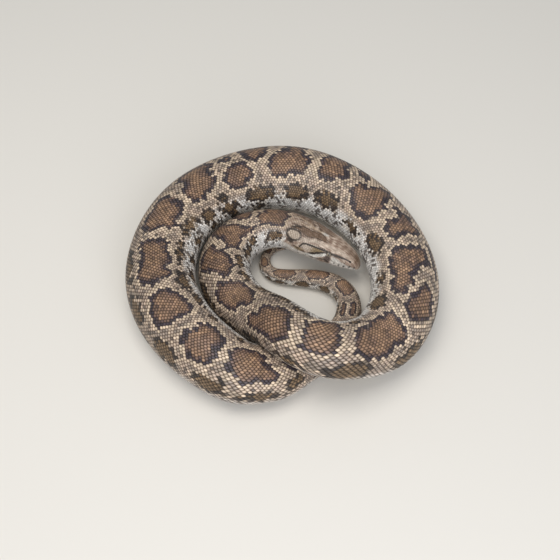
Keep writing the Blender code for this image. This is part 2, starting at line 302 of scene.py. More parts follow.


# ---------------------------------------------------------------------------------------------
# Markings. Pigment in the skin: a chain of brown saddles with near-black rims edged with cream
# along the back, smaller olive spots on the sides, pale flecked flanks and a cream belly, with
# painted light making the inner flank of the coil paler than the outer. The same rules colour the
# skin and every scale, so a rim that crosses a scale comes out toothed.
# ---------------------------------------------------------------------------------------------

# Outlines of the saddles of the back: corners as distance from the snout in millimetres and
# share of the girth in thousandths, in turn.
SADDLES = (
    (124, -110, 122, -20, 117, 0, 120, 60, 118, 120, 128, 135, 145, 125, 160, 110, 163, 40, 160, 0,
     153, -10, 152, -110),
    (167, -110, 165, -40, 167, 0, 171, 25, 181, 15, 189, -20, 190, -110),
    (170, 105, 183, 85, 190, 55, 194, 10, 202, -30, 203, -120, 221, -110, 229, -30, 230, 20, 238,
     40, 249, 45, 243, 90, 240, 130, 222, 140, 208, 125, 192, 140, 172, 125),
    (236, -60, 248, -95, 260, -140, 272, -120, 283, -50, 286, -15, 299, 20, 299, 55, 291, 80, 284,
     105, 268, 100, 258, 75, 252, 40, 250, -5, 243, -20),
    (298, -30, 306, -60, 317, -105, 340, -90, 360, -75, 361, -30, 382, 0, 383, 30, 371, 65, 368, 95,
     346, 110, 319, 100, 311, 60, 306, 0),
    (388, -55, 392, -120, 402, -137, 430, -122, 444, -117, 452, -90, 457, -40, 454, -5, 448, 25,
     446, 85, 434, 100, 422, 83, 413, 50, 401, 35, 399, -10, 403, -35),
    (468, -60, 478, -71, 490, -66, 498, -50, 503, 20, 502, 75, 508, 110, 504, 155, 500, 185, 488,
     180, 474, 158, 465, 120, 459, 85, 464, 55, 468, 10),
    (514, -20, 518, -70, 530, -105, 556, -122, 568, -85, 582, -100, 594, -88, 601, -50, 603, -5,
     612, 45, 600, 78, 584, 72, 572, 100, 554, 105, 545, 72, 534, 90, 525, 85, 520, 30),
    (616, -40, 620, -100, 630, -135, 643, -148, 656, -125, 669, -98, 674, -57, 662, -33, 648, -10,
     638, 13, 627, 12, 621, -15),
    (641, 65, 649, 28, 664, 6, 680, 0, 692, -15, 699, -50, 701, -90, 727, -90, 730, -40, 730, 35,
     733, 60, 722, 98, 700, 120, 686, 108, 674, 100, 662, 112, 648, 95),
    (686, -150, 700, -118, 738, -116, 742, -150),
    (750, -60, 752, -100, 775, -90, 800, -70, 803, -45, 783, -30, 780, 0, 788, 30, 779, 60, 768, 76,
     753, 70, 746, 50, 751, 10),
    (796, 75, 806, 50, 804, 15, 812, -10, 820, -50, 820, -80, 832, -105, 848, -90, 850, -45, 855,
     -20, 866, -22, 870, 0, 869, 50, 858, 80, 850, 110, 839, 130, 816, 125, 805, 105),
    (862, -50, 868, -110, 880, -140, 893, -130, 884, -80, 874, -60),
    (885, 5, 891, -20, 899, -50, 900, -130, 932, -140, 936, -80, 940, -35, 935, -5, 934, 35, 924,
     77, 906, 60, 895, 30),
    (950, 20, 952, -20, 962, -50, 964, -130, 991, -140, 993, -65, 1003, -60, 1014, -10, 1021, 35,
     1015, 80, 1004, 95, 990, 98, 980, 74, 962, 82, 952, 70),
    (1013, -140, 1016, -70, 1024, -30, 1032, -6, 1042, -6, 1050, -30, 1052, -75, 1057, -110, 1055,
     -140),
    (1044, 50, 1050, 20, 1057, -10, 1069, -14, 1081, -2, 1092, 33, 1099, 58, 1097, 95, 1088, 115,
     1079, 132, 1067, 120, 1060, 94, 1050, 85),
    (1064, -62, 1072, -92, 1084, -85, 1090, -60, 1080, -45),
    (1096, -60, 1102, -110, 1115, -130, 1140, -125, 1151, -85, 1147, -35, 1158, -10, 1167, 15, 1171,
     55, 1167, 95, 1150, 100, 1130, 84, 1117, 70, 1108, 30, 1108, -20, 1104, -45),
    (1176, -50, 1180, -80, 1195, -85, 1222, -82, 1238, -75, 1246, -30, 1245, 0, 1238, 30, 1239, 70,
     1229, 95, 1213, 83, 1196, 78, 1184, 62, 1181, 0),
    (1259, 10, 1261, -35, 1270, -52, 1282, -50, 1289, -37, 1300, -55, 1316, -70, 1327, -62, 1337, 0,
     1333, 35, 1335, 65, 1327, 93, 1311, 80, 1300, 108, 1287, 105, 1276, 83, 1266, 90, 1258, 75,
     1261, 45),
    (1348, 0, 1352, -35, 1364, -60, 1374, -85, 1386, -98, 1393, -72, 1403, -45, 1400, 0, 1406, 50,
     1404, 90, 1391, 104, 1376, 100, 1362, 73, 1352, 50),
    (1422, -10, 1425, -55, 1437, -82, 1448, -102, 1461, -100, 1471, -75, 1474, -30, 1471, 0, 1471,
     65, 1461, 93, 1446, 105, 1433, 92, 1426, 65, 1429, 30),
    (1481, 35, 1487, 0, 1488, -45, 1497, -85, 1508, -112, 1521, -92, 1535, -112, 1545, -90, 1546,
     -45, 1536, -10, 1530, 15, 1536, 50, 1527, 80, 1511, 96, 1498, 92, 1488, 75),
    (1556, 30, 1560, -60, 1572, -100, 1592, -95, 1604, -50, 1606, 40, 1596, 85, 1574, 90),
    (1616, 20, 1622, -60, 1634, -90, 1650, -70, 1656, 0, 1650, 70, 1634, 100, 1620, 80),
    (1690, -30, 1694, -70, 1704, -105, 1715, -95, 1719, -60, 1714, -25, 1702, -18),
    (1688, 45, 1700, 25, 1713, 45, 1719, 85, 1708, 115, 1695, 105, 1686, 80),
    (1728, 0, 1733, -60, 1738, -120, 1758, -120, 1762, -40, 1764, 20, 1763, 75, 1754, 100, 1741,
     95, 1732, 60),
    (1778, 20, 1779, -40, 1783, -120, 1808, -115, 1813, -30, 1815, 30, 1812, 85, 1803, 120, 1794,
     100, 1782, 75),
    (1827, 30, 1829, -40, 1833, -110, 1857, -110, 1861, -30, 1864, 40, 1861, 90, 1851, 150, 1841,
     145, 1834, 90),
    (1875, 20, 1877, -70, 1893, -80, 1898, -10, 1898, 60, 1892, 120, 1883, 130, 1876, 80),
    (1906, 0, 1908, -90, 1917, -95, 1919, 0, 1917, 100, 1908, 100),
    (1927, 0, 1929, -120, 1936, -120, 1938, 0, 1936, 120, 1929, 120),
)
# Spots of the sides: distance from the snout, share of the girth, half length and half share.
# Those on the inner side of the coil come first.
SIDE_SPOTS = (
    (133, 0.215, 17, 0.042), (192, 0.195, 17, 0.03), (227, 0.212, 23, 0.032), (270, 0.155, 20, 0.034),
    (309, 0.145, 12, 0.03), (360, 0.165, 16, 0.03), (403, 0.167, 17, 0.028), (440, 0.16, 14, 0.025),
    (532, 0.145, 9, 0.022), (618, 0.148, 20, 0.045), (680, 0.17, 15, 0.03), (757, 0.154, 25, 0.042),
    (822, 0.205, 19, 0.025), (893, 0.157, 25, 0.043), (962, 0.166, 28, 0.045), (1040, 0.172, 30, 0.044),
    (1119, 0.137, 12, 0.02), (1110, 0.2, 22, 0.032), (1164, 0.187, 19, 0.04), (1213, 0.146, 26, 0.03),
    (1275, 0.148, 25, 0.022), (1341, 0.143, 21, 0.034), (1382, 0.166, 18, 0.026), (1427, 0.146, 8, 0.024),
    (1484, 0.148, 8, 0.026), (1545, 0.16, 18, 0.035), (1610, 0.17, 18, 0.035), (1700, 0.175, 17, 0.032),
    (1741, 0.225, 12, 0.04), (1776, 0.24, 13, 0.075), (1817, 0.235, 13, 0.075), (1849, 0.25, 7, 0.06),
    (1866, 0.25, 5, 0.05), (1885, 0.24, 6, 0.05), (1905, 0.24, 5, 0.05), (175, -0.19, 18, 0.035),
    (235, -0.2, 16, 0.035), (298, -0.168, 21, 0.04), (345, -0.2, 18, 0.03), (400, -0.205, 20, 0.03),
    (462, -0.19, 15, 0.035), (514, -0.172, 21, 0.062), (591, -0.195, 26, 0.048), (655, -0.21, 22, 0.035),
    (735, -0.22, 24, 0.035), (800, -0.19, 22, 0.04), (868, -0.21, 22, 0.04), (940, -0.2, 24, 0.045),
    (1010, -0.21, 22, 0.035), (1075, -0.19, 22, 0.035), (1150, -0.2, 24, 0.035), (1215, -0.19, 20, 0.035),
    (1291, -0.128, 26, 0.034), (1350, -0.153, 21, 0.043), (1416, -0.166, 22, 0.053),
    (1478, -0.174, 18, 0.05), (1525, -0.188, 19, 0.036), (1562, -0.15, 12, 0.04), (1625, -0.18, 16, 0.04),
    (1673, -0.17, 12, 0.04), (1733, -0.22, 12, 0.04), (1773, -0.22, 12, 0.05), (1808, -0.22, 11, 0.05),
    (1843, -0.23, 9, 0.05), (1878, -0.24, 8, 0.05), (1222, 0.24, 11, 0.03), (1272, 0.245, 11, 0.026),
    (1318, 0.225, 16, 0.028), (1160, 0.255, 14, 0.02), (1100, 0.25, 12, 0.02), (1045, 0.25, 12, 0.02),
)


def linear(code):
    """Linear colour of an sRGB hex value: the standard curve, channel by channel."""
    value = np.array([int(code[i : i + 2], 16) for i in (1, 3, 5)]) / 255
    return np.where(value <= 0.04045, value / 12.92, ((value + 0.055) / 1.055) ** 2.4)


# The pigments, as dry keratin scales show them.
SADDLE_BROWN = linear("#8a6c53")
SADDLE_UMBER = linear("#5f4a40")
SADDLE_DARK = linear("#352c30")
EDGE_CREAM = linear("#cfb89d")
GROUND_TAN = linear("#a38d7b")
GROUND_GREY = linear("#857669")
SPOT_OLIVE = linear("#69543d")
SPOT_RIM = linear("#332a25")
FLANK_PALE = linear("#e6e0d8")
FLANK_FLECK = linear("#4b4039")
BELLY_CREAM = linear("#d3c5ae")


def ripples(s, v, wavelength, seed):
    """Smooth random field of about unit spread: nine plane waves of random heading and phase,
    their lengths between 0.7 and 1.5 of the one given, over distance and height on the skin."""
    rng = np.random.default_rng(seed)
    total = np.zeros(np.broadcast(s, v).shape)
    for heading, phase, stretch in zip(rng.uniform(0, np.pi, 9), rng.uniform(0, 2 * np.pi, 9),
                                       np.linspace(0.7, 1.5, 9)):
        wave = 2 * np.pi / (wavelength * stretch)
        total += np.sin(wave * (s * np.cos(heading) + v * np.sin(heading)) + phase)
    return total / 2.1


PATCH_POWER = 2.2


def depth_in_patches(s, f, girth, rows):
    """How deep a place lies inside the nearest of the patches, in metres, negative outside.

    Each patch is a superellipse. Its depth is (1 - r) times the shorter half axis, where r is 1
    on its rim, and depths are joined by a soft maximum, so that patches that meet run together.
    """
    soft = 1.2 * MM
    total = np.zeros(np.broadcast(s, f).shape)
    for distance, share, half_length, half_share in rows:
        r = (np.abs((s - distance * MM) / (half_length * MM)) ** PATCH_POWER
             + np.abs((f - share) / half_share) ** PATCH_POWER) ** (1 / PATCH_POWER)
        depth = (1 - r) * np.minimum(half_length * MM, half_share * girth)
        total += np.exp(np.clip(depth / soft, -40, 40))
    return soft * np.log(np.maximum(total, 1e-17))


def depth_in_outlines(s, f, girth, outlines):
    """How deep a place lies inside the nearest outline, in metres, negative outside.

    It is the distance to the nearest edge, with its sign from the count of edges that a line
    across the skin crosses. Where two outlines come close, the depth is held under half the
    difference between the two less half the gap, so that a light line always parts them.
    """
    best = np.full(s.shape, -0.05)
    second = np.full(s.shape, -0.05)
    for outline in outlines:
        corners = np.array(outline, float).reshape(-1, 2) * (MM, 0.001)
        low, high = corners[:, 0].min(), corners[:, 0].max()
        near = (s > low - 30 * MM) & (s < high + 30 * MM)
        if not near.any():
            continue
        x, g = s[near], girth[near]
        y = f[near] * g
        reach = np.full(x.shape, 1.0)
        inside = np.zeros(x.shape, bool)
        for (x0, f0), (x1, f1) in zip(corners, np.roll(corners, -1, axis=0)):
            ax, y0 = x1 - x0, f0 * g
            ay = f1 * g - y0
            t = np.clip(((x - x0) * ax + (y - y0) * ay) / np.maximum(ax * ax + ay * ay, 1e-12), 0, 1)
            reach = np.minimum(reach, np.hypot(x - x0 - t * ax, y - y0 - t * ay))
            if x0 != x1:
                crosses = (x0 <= x) != (x1 <= x)
                inside ^= crosses & (y < y0 + ay * (x - x0) / ax)
        depth = np.where(inside, reach, -reach)
        second[near] = np.maximum(second[near], np.minimum(best[near], depth))
        best[near] = np.maximum(best[near], depth)
    return np.minimum(best, (best - second) / 2 - 1.7 * MM)


def mix(a, b, share):
    """A straight blend of two colours: the first at share 0 and the second at share 1."""
    return a + (b - a) * np.asarray(share)[..., None]


def way_to_line(s, v, points, girth):
    """Least distance on the skin to a broken line of stations and girth shares."""
    corners = [(x * MM, share) for x, share in points]
    best = np.full(np.broadcast(s, v).shape, 1.0)
    for (x0, f0), (x1, f1) in zip(corners, corners[1:]):
        ax, ay = x1 - x0, (f1 - f0) * girth
        px, py = s - x0, v - f0 * girth
        t = np.clip((px * ax + py * ay) / np.maximum(ax * ax + ay * ay, 1e-12), 0, 1)
        best = np.minimum(best, np.hypot(px - t * ax, py - t * ay))
    return best


HEAD_ROSE = linear("#957d6c")
HEAD_LIGHT = linear("#bfae9d")
HEAD_BROWN = linear("#69523f")
HEAD_DARK = linear("#2a211a")
TEMPLE_OLIVE = linear("#7f6a48")
LIP_WHITE = linear("#d6d1c7")
CHEEK_GREY = linear("#61534c")

NOSTRIL_STATION = 12.5 * MM
NOSTRIL_SHARE = 0.157
# Edges of the brown lance on the crown: distance from the snout in millimetres, then the share of
# the girth of its inner and outer edge on the near side and on the far side, in thousandths.
LANCE = (
    (46, 74, 82, 50, 90), (55, 55, 92, 24, 118), (62, 22, 101, 14, 130), (68, 7, 104, 12, 136),
    (74, 22, 116, 14, 140), (80, 45, 134, 18, 140), (94, 45, 111, 16, 132), (98, 62, 109, 14, 125),
    (104, 85, 106, 12, 110), (110, 100, 102, 30, 90),
)


def head_markings(s, f, girth):
    """Colour of the head: a brown lance on the crown with a light middle line and dark edges, a
    light stripe over each eye, a dark stripe through it that parts round an olive temple, white
    lips with a dark patch under the eye, and a ringed spot on each side of the nape.

    Both sides are alike, but on the far side a light bar parts the lance in two.
    """
    a = np.abs(f)
    v = a * girth
    mm = s / MM
    fine = ripples(s, f * girth, 2.6 * MM, 41)
    broad = ripples(s, f * girth, 9 * MM, 42)
    streak = ripples(s * 0.3, f * girth, 3.4 * MM, 43)
    colour = mix(HEAD_ROSE, HEAD_LIGHT, np.clip(0.28 + 0.22 * broad + 0.38 * streak, 0, 1))
    colour = mix(colour, HEAD_BROWN, ease(-streak - 0.3 * broad, 0.5, 1.5) * ease(0.17 - a, 0, 0.03) * 0.55)
    colour = mix(colour, HEAD_BROWN, 0.62 * ease(34 - mm, 0, 24) * ease(0.1 - a, 0, 0.06))

    def draw(pigment, strength, half, soft, *line):
        """Lays a line of pigment with a half width and a soft edge in millimetres."""
        nonlocal colour
        away = way_to_line(s, v, line, girth) + 0.1 * MM * fine
        colour = mix(colour, pigment, strength * (1 - ease(away, (half - soft) * MM, (half + soft) * MM)))

    def dab(pigment, strength, *patch, sides=a, soft=0.8):
        """Lays a rounded patch of pigment, given as the spots of the sides are."""
        nonlocal colour
        depth = depth_in_patches(s, sides, girth, (patch,)) + 0.3 * MM * fine
        colour = mix(colour, pigment, strength * ease(depth, -soft * MM, soft * MM))

    draw(HEAD_BROWN, 0.4, 1.6, 1.4, (8, 0.02), (36, 0.008))
    draw(HEAD_LIGHT, 0.8, 3.0, 2.4, (18, 0.115), (40, 0.115), (66, 0.132), (80, 0.16), (90, 0.19))

    stations, *edges = np.array(LANCE, float).T
    near_low, near_high, far_low, far_high = (np.interp(mm, stations, edge * 0.001) for edge in edges)
    low, high = np.where(f > 0, near_low, far_low), np.where(f > 0, near_high, far_high)
    lance = np.minimum(a - low, high - a) * girth + 0.3 * MM * fine
    lance = np.minimum(lance, (112 * MM - s) * 0.8)
    bar = np.where(f < 0, np.abs(mm - 74 - 150 * a), 50) * 0.8 * MM - 2.6 * MM
    lance = np.minimum(lance, bar)
    inside = ease(lance, -0.4 * MM, 0.5 * MM) * ease(mm, 46, 56) * np.where(f > 0, 1.0, 0.8)
    rim = inside * (1 - ease(lance, 0.8 * MM, 2.2 * MM))
    colour = mix(colour, mix(HEAD_BROWN, HEAD_ROSE, np.clip(0.15 + 0.2 * streak, 0, 0.5)), inside * 0.95)
    colour = mix(colour, HEAD_DARK, rim * (0.82 + 0.15 * ease(mm, 84, 100)))
    dab(HEAD_DARK, 0.8, 101, 0.074, 6, 0.013, sides=f, soft=0.6)
    dab(LIP_WHITE, 0.8, 62, 0.0, 6, 0.016)
    draw(EDGE_CREAM, 0.5, 1.7, 1.0, (66, 0.0), (78, 0.004), (88, 0.02), (104, 0.03), (118, 0.04))

    dab(HEAD_DARK, 0.92, 100.5, 0.16, 13.6, 0.052)
    dab(mix(HEAD_LIGHT, TEMPLE_OLIVE, 0.25), 1, 99.5, 0.161, 9.8, 0.034)
    dab(HEAD_DARK, 0.9, 102, 0.218, 6.5, 0.018)

    dab(mix(TEMPLE_OLIVE, HEAD_LIGHT, ease(mm + 2 * fine, 60, 74)), 1, 66, 0.215, 18, 0.034)
    low_edge = np.interp(mm, (10, 22, 32), (0.23, 0.22, 0.196))
    colour = mix(colour, LIP_WHITE, ease(a, low_edge, low_edge + 0.02) * ease(40 - mm, 0, 6) * 0.8)
    draw(LIP_WHITE, 0.95, 2.7, 1.0, (47, 0.215), (54, 0.243), (62, 0.268), (72, 0.283))
    draw(LIP_WHITE, 0.75, 4.0, 2.0, (60, 0.3), (76, 0.3), (92, 0.296), (114, 0.28))
    dab(TEMPLE_OLIVE, 0.7, 85, 0.262, 8, 0.017)
    draw(HEAD_DARK, 0.92, 1.1 + 0.9 * ease(mm, 16, 28), 0.6,
         (15, 0.156), (20, 0.162), (27, 0.172), (38, 0.18))
    draw(HEAD_DARK, 1, 1.4, 0.5,
         (46, 0.175), (56, 0.178), (66, 0.183), (77, 0.189), (81, 0.2), (84, 0.235))
    fading = 0.95 - 0.45 * ease(mm, 65, 72) + 0.3 * ease(mm, 84, 90)
    draw(HEAD_DARK, fading, 1.1 + 0.8 * hump(mm, 48, 76), 0.5,
         (46, 0.19), (52, 0.207), (58, 0.228), (64, 0.25), (70, 0.26), (80, 0.266), (94, 0.25))
    dab(CHEEK_GREY, 0.9, 42.5, 0.252, 4.6, 0.046)
    draw(HEAD_DARK, 0.8, 1.2, 0.6, (40, 0.288), (45, 0.268), (52, 0.275), (58, 0.287), (64, 0.3))
    draw(HEAD_BROWN, 0.7, 0.8, 0.6, (6.5, 0.03), (7.5, 0.11))
    # Painted shade: the nostril opening is painted near black, as the shade inside it.
    nostril = np.hypot(s - NOSTRIL_STATION, (a - NOSTRIL_SHARE) * girth)
    colour = mix(colour, HEAD_DARK * 0.3, 1 - ease(nostril, 1.2 * MM, 1.9 * MM))
    chin = mix(LIP_WHITE, BELLY_CREAM, ease(a, 0.345, 0.37))
    colour = mix(colour, chin, ease(a, 0.31, 0.325) * 0.85)
    return colour * (1 + 0.08 * fine + 0.05 * broad)[..., None]


def markings(s, f, jitter=0.0):
    """Colour of the pigment at each distance from the snout and share of the girth.

    From the depth inside the saddles come, in turn, the brown heart, an umber ring that darkens
    into a near-black rim of about 5 mm, the cream edge of about 4 mm outside it, and the mottled
    tan ground between. The side spots have a dark rim and an olive heart. Below them the flank
    pales and breaks into dark flecks. It pales higher up and more on the inner side of the coil
    than on the outer: painted light, the inner flank painted as lit and the outer as in shade.
    """
    s = np.asarray(s, float)
    f = np.broadcast_to(f, s.shape)
    girth = np.interp(s, STATIONS, GIRTH)
    size = np.clip(girth / (300 * MM), 0.3, 1)
    v = f * girth
    lit_inner_side = np.where(f > 0, 1.0, 0.0)
    wobble = (1.1 * ripples(s, v, 16 * MM, 11) + 0.9 * ripples(s, v, 7 * MM, 12)) * MM * size
    saddle = depth_in_outlines(s, f, girth, SADDLES) + 1.0 * MM * size + wobble + jitter * size
    side = depth_in_patches(s, f, girth, SIDE_SPOTS) + 1.5 * wobble + 0.7 * jitter * size
    cloud = ripples(s, v, 30 * MM, 13)
    speck = 0.55 * ripples(s, v, 6 * MM, 14) + jitter / (0.9 * MM)

    ground = mix(GROUND_TAN, GROUND_GREY, np.clip(0.45 + 0.3 * cloud + 0.45 * speck, 0, 1))
    ground = mix(ground, SPOT_RIM, ease(speck - 0.3 * cloud, 0.75, 1.6) * 0.65)
    ground = mix(ground, EDGE_CREAM, ease(-speck - 0.3 * cloud, 0.7, 1.6) * 0.5)
    # Painted light: the pale flank starts higher and is paler on the inner side of the coil, painted as lit,
    # than on the outer side, painted as in shade.
    low = ease(np.abs(f), np.where(f > 0, 0.148, 0.2), np.where(f > 0, 0.2, 0.26))
    flank = mix(FLANK_PALE, FLANK_FLECK, ease(speck + 0.5 * cloud, 0.4, 1.1) * 0.9)
    colour = mix(ground, flank, low * (0.55 + 0.45 * lit_inner_side))
    side_edge = ease(side, -5 * MM * size, -0.5 * MM) * (1 - ease(side, 0, 1.0 * MM))
    colour = mix(colour, EDGE_CREAM, side_edge * 0.4)
    side_rim = ease(side, -0.4 * MM, 0.6 * MM)
    colour = mix(colour, SPOT_RIM, side_rim)
    colour = mix(colour, SPOT_OLIVE, side_rim * ease(side, 2.8 * MM * size, 5.5 * MM * size))
    edge = ease(saddle, -6.8 * MM * size, -3.8 * MM * size) * (1 - side_rim * 0.8)
    colour = mix(colour, EDGE_CREAM, edge * (0.74 + 0.12 * cloud))
    rim = ease(saddle, -0.5 * MM, 0.5 * MM)
    colour = mix(colour, SADDLE_DARK, rim)
    heart = rim * ease(saddle, 3.6 * MM * size, 8.0 * MM * size)
    brown = mix(SADDLE_UMBER, SADDLE_BROWN, ease(saddle, 5.5 * MM * size, 12.0 * MM * size))
    brown = mix(brown, SADDLE_UMBER, np.clip(0.22 + 0.2 * cloud + 0.25 * speck, 0, 0.7))
    colour = mix(colour, brown, heart)
    belly = ease(np.abs(f), 0.35, 0.385)
    colour = mix(colour, BELLY_CREAM, belly * 0.9)
    on_head = 1 - ease(s + 2.5 * MM * ripples(s, v, 12 * MM, 15), 111 * MM, 116 * MM)
    if np.any(on_head > 0):
        colour = mix(colour, head_markings(s, f, girth), on_head)
    return np.clip(colour, 0, 1)


# ---------------------------------------------------------------------------------------------
# Skin. One unbroken hide over the head and the body, without a seam, let in by the depth of the
# coat. On the front of the head it is the surface that shows: horny shields with fine furrows
# between them, lips with their heat pits, nostrils, brow ridges and the rings round the eyes.
# ---------------------------------------------------------------------------------------------

EYE_RADIUS = 4.2 * MM
EYE_STATION = 42.5 * MM
EYE_OUT = 22.2 * MM
EYE_UP = 9.4 * MM
NEAR_SIDE = -1
FAR_SIDE = 1


def eye_place(side_sign):
    """Centre of an eye and its three directions: towards the tail, outwards and up."""
    at = np.array([EYE_STATION])
    along, side, up = (direction[0] for direction in section_frames(at))
    centre = axis_points(at)[0] + side * side_sign * EYE_OUT + up * EYE_UP
    outward = unit(side * side_sign * 0.86 + up * 0.42 - along * 0.3)
    back = unit(along - outward * (along @ outward))
    return centre, back, outward, np.cross(back, outward) * side_sign


def head_places(points):
    """Places in the head's own frame: distance behind the snout, sideways and above the mouth."""
    ends = axis_points(np.array([0, HEAD_LENGTH]))
    back = unit(ends[1] - ends[0])
    level = unit(np.cross(back, (0, 0, 1)))
    side = level * math.cos(HEAD_ROLL) + np.cross(back, level) * math.sin(HEAD_ROLL)
    up = np.cross(side, back)
    away = points - ends[0]
    return away @ back, away @ side, away @ up


# Shields of the crown, one side: distance from the snout and from the middle line, millimetres.
SHIELDS = (
    (3, 0), (8, 4), (8, 11), (15, 4.5), (15, 12), (23, 5.5), (22, 15), (32, 0), (31, 9.5), (31, 18),
    (42, 5), (41, 13.5), (43, 21), (50, 0), (52, 9.5), (51, 17), (58, 4.5), (60, 13), (12, 18), (21, 22),
    (30, 25), (36, 22), (54, 22.5), (5, 17),
)
LABIAL_PITCH = 7.0
MOUTH_CORNER = 84
# Heat pits of the lips: distance from the snout, height over the mouth and radius, millimetres.
HEAT_PITS = (
    (4.5, 4.4, 1.0), (10, 4.8, 1.35), (17, 3.9, 1.45), (24, 4.2, 1.25), (31, 4.6, 1.0), (59, -3.2, 0.9),
    (66, -3.2, 1.0), (73, -3.2, 0.9),
)
# Ridges and hollows along the head: height in millimetres, share of the girth, half width as a
# share, and where they start and stop, in millimetres from the snout.
HEAD_RIDGES = (
    (0.5, 0.148, 0.016, 6, 58), (0.9, 0.135, 0.022, 33, 54), (-0.6, 0, 0.03, 46, 104),
    (0.9, 0.2, 0.05, 66, 116), (0.35, 0.055, 0.03, 20, 60),
)


def bell(away, width):
    """1 at no distance away, 1/e at the width and next to nothing beyond twice that."""
    return np.exp(-((away / width) ** 2))


def furrows(x, y):
    """0 inside a shield and 1 on the furrow between two, from the two nearest middles."""
    places = np.array(SHIELDS + tuple((x, -y) for x, y in SHIELDS if y), float)
    reach = np.hypot(x[..., None] - places[:, 0], (y[..., None] - places[:, 1]) * 1.05)
    reach.partition(1, axis=-1)
    return 1 - ease(reach[..., 1] - reach[..., 0], 0.1, 0.8)


def from_eye(points, side_sign):
    """Places round an eye in millimetres: towards the tail, up the face and out of it."""
    centre, back, outward, up = eye_place(side_sign)
    away = (points - centre) / MM
    return away @ back, away @ up, away @ outward


def head_relief(s, f, girth, points):
    """Height of the head's detail over the form, in metres, and the darkness of its furrows.

    It adds, in millimetres, each as a bell or a ridge over the distance to a place or a line: the
    mouth with its two lips, the sutures and pits of the lip shields, the nostrils, the hollow
    before the eye, the ridges, the rings round the eyes and the furrows of the crown. The
    darkness is painted shade in the furrows and sutures, the slit of the mouth, the heat pits,
    the nostrils, the grooves between the beads round each eye and the eye's socket.
    """
    along, _, above = (place / MM for place in head_places(points))
    x = s / MM
    a = np.abs(f)
    around = girth / MM

    open_part = 1 - ease(along, MOUTH_CORNER - 3, MOUTH_CORNER + 2)
    lip = above - 1.4 * ease(along, 60, MOUTH_CORNER) + 1.2 * hump(along, 8, 46)
    lips = 0.45 * bell(lip - 2.6, 1.9) + 0.25 * bell(lip + 2.6, 1.7)
    height = (lips - bell(lip, 0.6) - 0.45 * ease(-lip, 0, 1.5)) * open_part

    upper = ease(lip, 0.3, 1.2) * (1 - ease(lip, 6.3, 7.3))
    lower = ease(-lip, 0.3, 1.2) * (1 - ease(-lip, 5.2, 6.4))
    phase = np.abs((x / LABIAL_PITCH) % 1 - 0.5) * 2
    low_phase = np.abs(((x + 2) / (LABIAL_PITCH * 0.85)) % 1 - 0.5) * 2
    sutures = np.maximum(upper * ease(phase, 0.84, 0.97), lower * ease(low_phase, 0.82, 0.97))
    furrow = np.maximum(sutures, bell(lip - 6.8, 0.5) * ease(x, 4, 8)) * open_part
    height += 0.2 * upper * (1 - phase**2)

    pits = np.zeros(s.shape)
    for station, rise, size in HEAT_PITS:
        pits = np.maximum(pits, bell(np.hypot(x - station, (lip - rise) * 0.7), size))
    to_nostril = np.hypot(x - NOSTRIL_STATION / MM, (a - NOSTRIL_SHARE) * around)
    nostril = bell(to_nostril, 1.35)
    height += 0.35 * bell(to_nostril - 2.2, 0.7) - 2.0 * nostril - 1.2 * pits

    height -= bell(x - 27, 9) * bell(a - 0.205, 0.028)
    for rise, share, half, start, stop in HEAD_RIDGES:
        height += rise * bell(a - share, half) * hump(x, start, stop)
    height -= 0.8 * ease(a, 0.46, 0.49) * hump(x, 4, 70)

    crown = (1 - ease(x, 57, 62)) * (1 - ease(a, 0.19, 0.2))
    furrow = np.maximum(furrow, furrows(x, f * around) * crown)
    height -= 0.18 * furrow
    # Painted shade in the furrows and sutures, the slit of the mouth, the heat pits and the nostrils. The
    # grooves between the beads round each eye and its socket are added below.
    relief_shade = np.clip(0.3 * furrow + 0.75 * bell(lip, 0.6) * open_part + 1.15 * pits + nostril, 0, 1)
    for side_sign in (NEAR_SIDE, FAR_SIDE):
        back, up, out = from_eye(points, side_sign)
        rho = np.hypot(back, up)
        faces = ease(out, -3, 0)
        turn = np.arctan2(up, back) / (2 * np.pi) * 10
        beads = ease(np.abs(turn % 1 - 0.5) * 2, 0.75, 1) * bell(rho - 4.8, 1.0) * faces
        height += (0.75 * bell(rho - 4.5, 0.9) - 3.2 * (1 - ease(rho, 1.9, 3.7))) * faces - 0.25 * beads
        relief_shade = np.maximum(relief_shade, np.maximum(beads * 0.5, (1 - ease(rho, 2.9, 3.9)) * faces))
    return height * MM, relief_shade


def bare_of_scales(s, f):
    """True where the head shows its shields, its lips and its eyes in place of small scales."""
    points, _ = skin_at(s, f)
    along, _, above = (place / MM for place in head_places(points))
    x = s / MM
    a = np.abs(f)
    rise = above - 1.4 * ease(along, 60, MOUTH_CORNER)
    crown = np.where(a < 0.16, x < 60, x < 50) & (a < 0.238)
    loreal = (x > 17) & (x < 35) & (a > 0.188) & (a < 0.236)
    lips = (rise > -5.6) & (rise < 6.4) & (x < MOUTH_CORNER + 2)
    muzzle = (x < 30) & ~loreal
    near_eye = np.zeros(s.shape, bool)
    for side_sign in (NEAR_SIDE, FAR_SIDE):
        back, up, _ = from_eye(points, side_sign)
        near_eye |= (np.hypot(back, up) < 6.0) & (np.sign(f) == -side_sign)
    return (s < HEAD_LENGTH) & ((crown & ~loreal) | lips | muzzle | near_eye)


HEAD_COLUMNS = 256
BODY_COLUMNS = HEAD_COLUMNS // 2
FRONT_END = 60 * MM


def ring_shares(columns):
    """Equal shares of the girth round a ring, from the middle of the belly round to it again."""
    return np.linspace(-0.5, 0.5, columns + 1)[:-1]


def head_skin(s):
    """Skin of the head on a grid, how dark its relief makes each place, and the relief's height."""
    s, f = np.meshgrid(s, ring_shares(HEAD_COLUMNS), indexing="ij")
    points, normals = skin_at(s, f)
    height, relief_shade = head_relief(s, f, np.interp(s, STATIONS, GIRTH), points)
    fade = 1 - ease(s, 108 * MM, 117 * MM)
    return points + normals * (height * fade)[..., None], relief_shade * fade, height * fade


